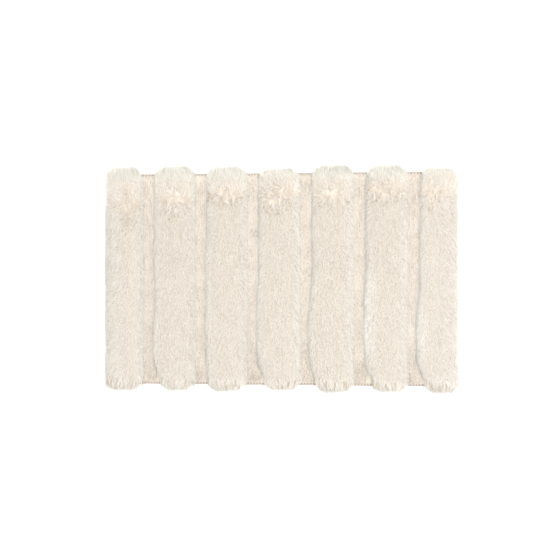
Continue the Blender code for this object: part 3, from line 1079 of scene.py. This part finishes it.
def floor_material():
    """Matt and nearly white, with a change of shade too slight to see."""
    floor = Shading("pale_floor")
    clouds = floor.texture("TexNoise", Scale=2.0)["Fac"]
    floor.colour(floor.ramp(clouds, (0.0, (0.945, 0.945, 0.945)), (1.0, (0.955, 0.955, 0.955))))
    floor.sockets["Roughness"].default_value = 0.9
    floor.sockets["Specular IOR Level"].default_value = 0.1
    return floor.material


# Camera, light and floor


def add_camera():
    low, high = CAD_LOW, CAD_HIGH
    centre = Vector(((low.x + high.x) / 2, (low.y + high.y) / 2, high.z / 2))
    data = bpy.data.cameras.new("camera")
    data.lens = CAMERA_LENS
    data.shift_x = CAMERA_SHIFT_X
    data.clip_start, data.clip_end = 0.05, 50.0
    camera = bpy.data.objects.new("camera", data)
    aside = Vector((math.sin(CAMERA_TILT), 0.0, math.cos(CAMERA_TILT)))
    camera.location = centre + CAMERA_DISTANCE * aside
    camera.rotation_euler = (0.0, CAMERA_TILT, 0.0)
    bpy.context.scene.collection.objects.link(camera)
    bpy.context.scene.camera = camera


def add_softbox():
    """A wide round softbox, turned towards the mat."""
    data = bpy.data.lights.new("softbox", "AREA")
    data.shape = "DISK"
    data.size = SOFTBOX_ACROSS
    data.energy = SOFTBOX_WATTS
    light = bpy.data.objects.new("softbox", data)
    light.location = SOFTBOX_PLACE
    light.rotation_euler = SOFTBOX_PLACE.to_track_quat("Z", "Y").to_euler()
    bpy.context.scene.collection.objects.link(light)


def add_studio():
    scene = bpy.context.scene
    scene.view_settings.view_transform = "Standard"
    world = bpy.data.worlds.new("studio")
    world.use_nodes = True
    background = world.node_tree.nodes["Background"]
    background.inputs["Color"].default_value = STUDIO_COLOUR
    background.inputs["Strength"].default_value = STUDIO_STRENGTH
    scene.world = world
    scene.cycles.diffuse_bounces = PILE_BOUNCES
    bpy.ops.mesh.primitive_plane_add(size=12.0, location=(0.0, 0.0, 0.0))
    floor = bpy.context.object
    floor.name = "floor"
    floor.data.materials.append(floor_material())


def pile_materials():
    """The strands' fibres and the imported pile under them, for the ribs and for the channels."""
    return {
        "tall_pile": fibre_material(
            "tall_pile", (0.790, 0.715, 0.640), (0.905, 0.860, 0.805), (0.985, 0.962, 0.925), 0.28, 0.15
        ),
        "short_pile": fibre_material(
            "short_pile", (0.652, 0.552, 0.468), (0.792, 0.745, 0.692), (0.888, 0.858, 0.824), 0.34, 0.12
        ),
        # The rib cores' creams, darker than the strands' fibre, are painted shade deep in the pile.
        "dense_pile": dense_pile_material("dense_pile", (0.52, 0.43, 0.35), (0.73, 0.65, 0.56), 900.0),
        "low_dense_pile": dense_pile_material(
            "low_dense_pile", (0.68, 0.58, 0.48), (0.86, 0.79, 0.70), 1100.0
        ),
    }


def main():
    add_camera()
    add_studio()
    add_softbox()
    materials = pile_materials()
    cloth = weave_material("ground_weave", (0.55, 0.47, 0.38), (0.80, 0.73, 0.63), 900, 0.0003, 0.2)
    # The tape's rim colour is painted shadow along the mat's edge.
    tape = weave_material(
        "tape_weave", (0.50, 0.44, 0.38), (0.64, 0.58, 0.52), 1500, 0.0002, 0.1, rim=(0.60, 0.56, 0.53)
    )
    # The thread's dark browns are painted shade of the stitch holes.
    thread = thread_material("thread", (0.11, 0.07, 0.04), (0.22, 0.15, 0.10))
    rubber = rubber_material("latex", (0.68, 0.66, 0.61), (0.80, 0.78, 0.74))

    pile = []
    for number in range(1, RIB_COUNT + 1):
        pile += add_rib(number, materials)
    for number in range(1, CHANNEL_COUNT + 1):
        pile += add_channel(number, materials)
    binding = add_binding(tape)
    needle = add_stitches("needle_stitches", "needle_thread", MAT_HIGH.z + 0.0002, 1, thread)
    bobbin_height = MAT_LOW.z + THREAD_RADIUS + 0.0001
    bobbin = add_stitches("bobbin_stitches", "bobbin_thread", bobbin_height, -1, thread)
    ground = add_ground_cloth(cloth)
    backing = add_backing(rubber)


main()
